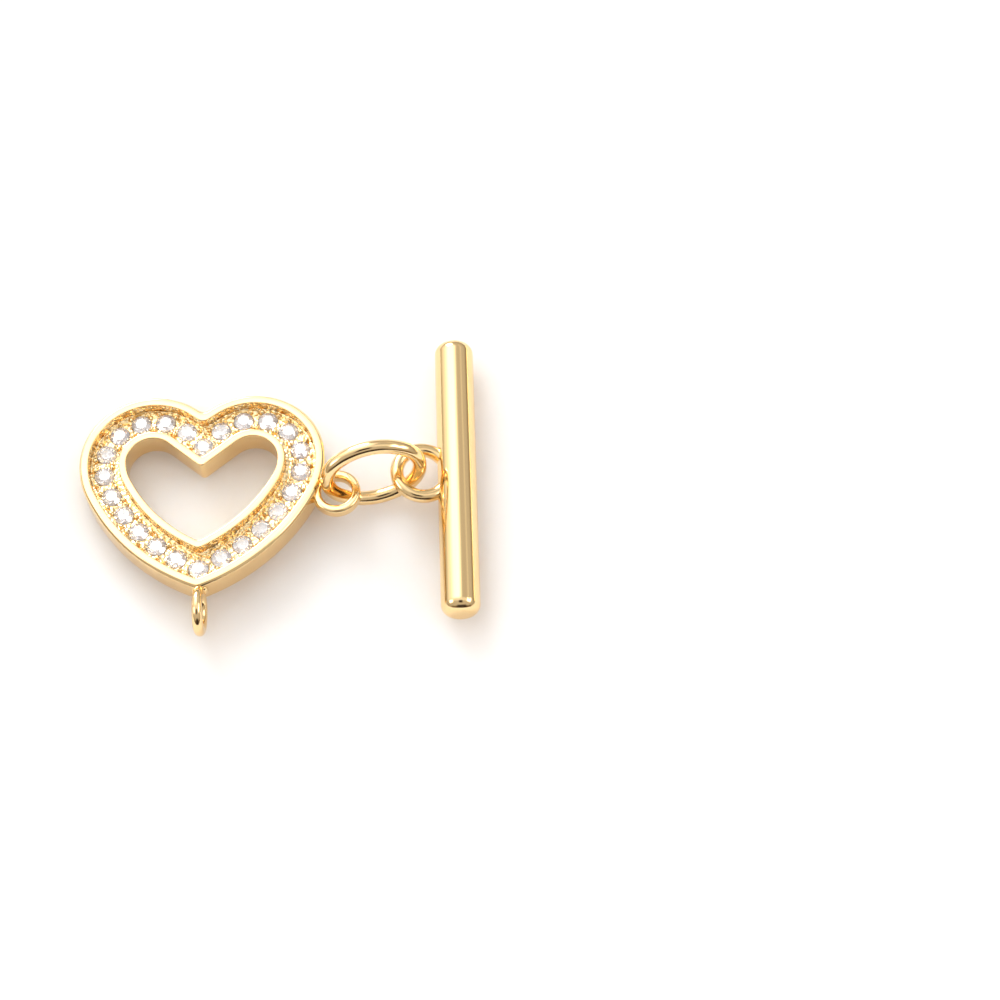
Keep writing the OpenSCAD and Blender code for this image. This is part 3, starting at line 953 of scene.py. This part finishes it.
def room_walls(nodes, links, direction):
    """Colour of the room's walls, by height."""
    parts = nodes.new("ShaderNodeSeparateXYZ")
    walls = nodes.new("ShaderNodeValToRGB")
    links.new(direction, parts.inputs["Vector"])
    links.new(parts.outputs["Z"], walls.inputs["Fac"])
    ramp = walls.color_ramp.elements
    while len(ramp) < len(WALL_COLOURS):
        ramp.new(0.5)
    for stop, (position, colour) in zip(ramp, WALL_COLOURS):
        stop.position = position
        stop.color = (*colour, 1)
    return walls.outputs["Color"]


def with_panels(nodes, links, direction, shown):
    """The colour shown in a direction, with the panels laid over it one by one."""
    group = panel_group()
    for middle, across, half_width, half_length, edge, colour in PANELS:
        middle = Vector(middle).normalized()
        across = Vector(across)
        across = (across - middle * across.dot(middle)).normalized()
        panel = nodes.new("ShaderNodeGroup")
        panel.node_tree = group
        panel.inputs["Middle"].default_value = middle
        panel.inputs["Across"].default_value = across
        panel.inputs["Along"].default_value = middle.cross(across)
        panel.inputs["Half Width"].default_value = half_width
        panel.inputs["Half Length"].default_value = half_length
        panel.inputs["Edge"].default_value = edge
        links.new(direction, panel.inputs["Direction"])
        add = nodes.new("ShaderNodeMix")
        add.data_type = "RGBA"
        links.new(panel.outputs["Mask"], add.inputs[MIX_FACTOR])
        links.new(shown, add.inputs[MIX_UNDER])
        add.inputs[MIX_OVER].default_value = (*colour, 1)
        shown = add.outputs[MIX_RESULT]
    return shown


def studio():
    """A pale room with soft-edged panels, and a plain pale backdrop past the table."""
    world = bpy.data.worlds.new("room")
    bpy.context.scene.world = world
    world.use_nodes = True
    nodes, links = world.node_tree.nodes, world.node_tree.links
    direction = nodes.new("ShaderNodeTexCoord").outputs["Generated"]
    walls = room_walls(nodes, links, direction)
    room = nodes["Background"]
    links.new(with_panels(nodes, links, direction, walls), room.inputs["Color"])
    plain = nodes.new("ShaderNodeBackground")
    plain.inputs["Color"].default_value = (*BACKDROP_COLOUR, 1)
    path = nodes.new("ShaderNodeLightPath")
    choice = nodes.new("ShaderNodeMixShader")
    links.new(path.outputs["Is Camera Ray"], choice.inputs["Fac"])
    links.new(room.outputs["Background"], choice.inputs[1])
    links.new(plain.outputs["Background"], choice.inputs[2])
    links.new(choice.outputs["Shader"], nodes["World Output"].inputs["Surface"])


def camera():
    """The camera of the photo, 180 mm away and 64 degrees above the table."""
    data = bpy.data.cameras.new("camera")
    data.lens = LENS
    data.sensor_width = SENSOR
    data.clip_start = NEAREST
    eye = bpy.data.objects.new("camera", data)
    bpy.context.scene.collection.objects.link(eye)
    eye.location = CAMERA_PLACE
    eye.rotation_euler = (CAMERA_TILT, 0, 0)
    bpy.context.scene.camera = eye


camera()
floor()
studio()
bpy.context.scene.view_settings.view_transform = "Standard"
polish_group()
heart_frame(gold_plating("heart_gold", 0.07, 600, 0.05), set_gold())
set_stones(clear_stone())
oval_link(gold_plating("wire_gold", 0.08, 600, 0.06))
toggle_bar(gold_plating("bar_gold", 0.1, 2600, 0.1, (1, 0.03, 1)))
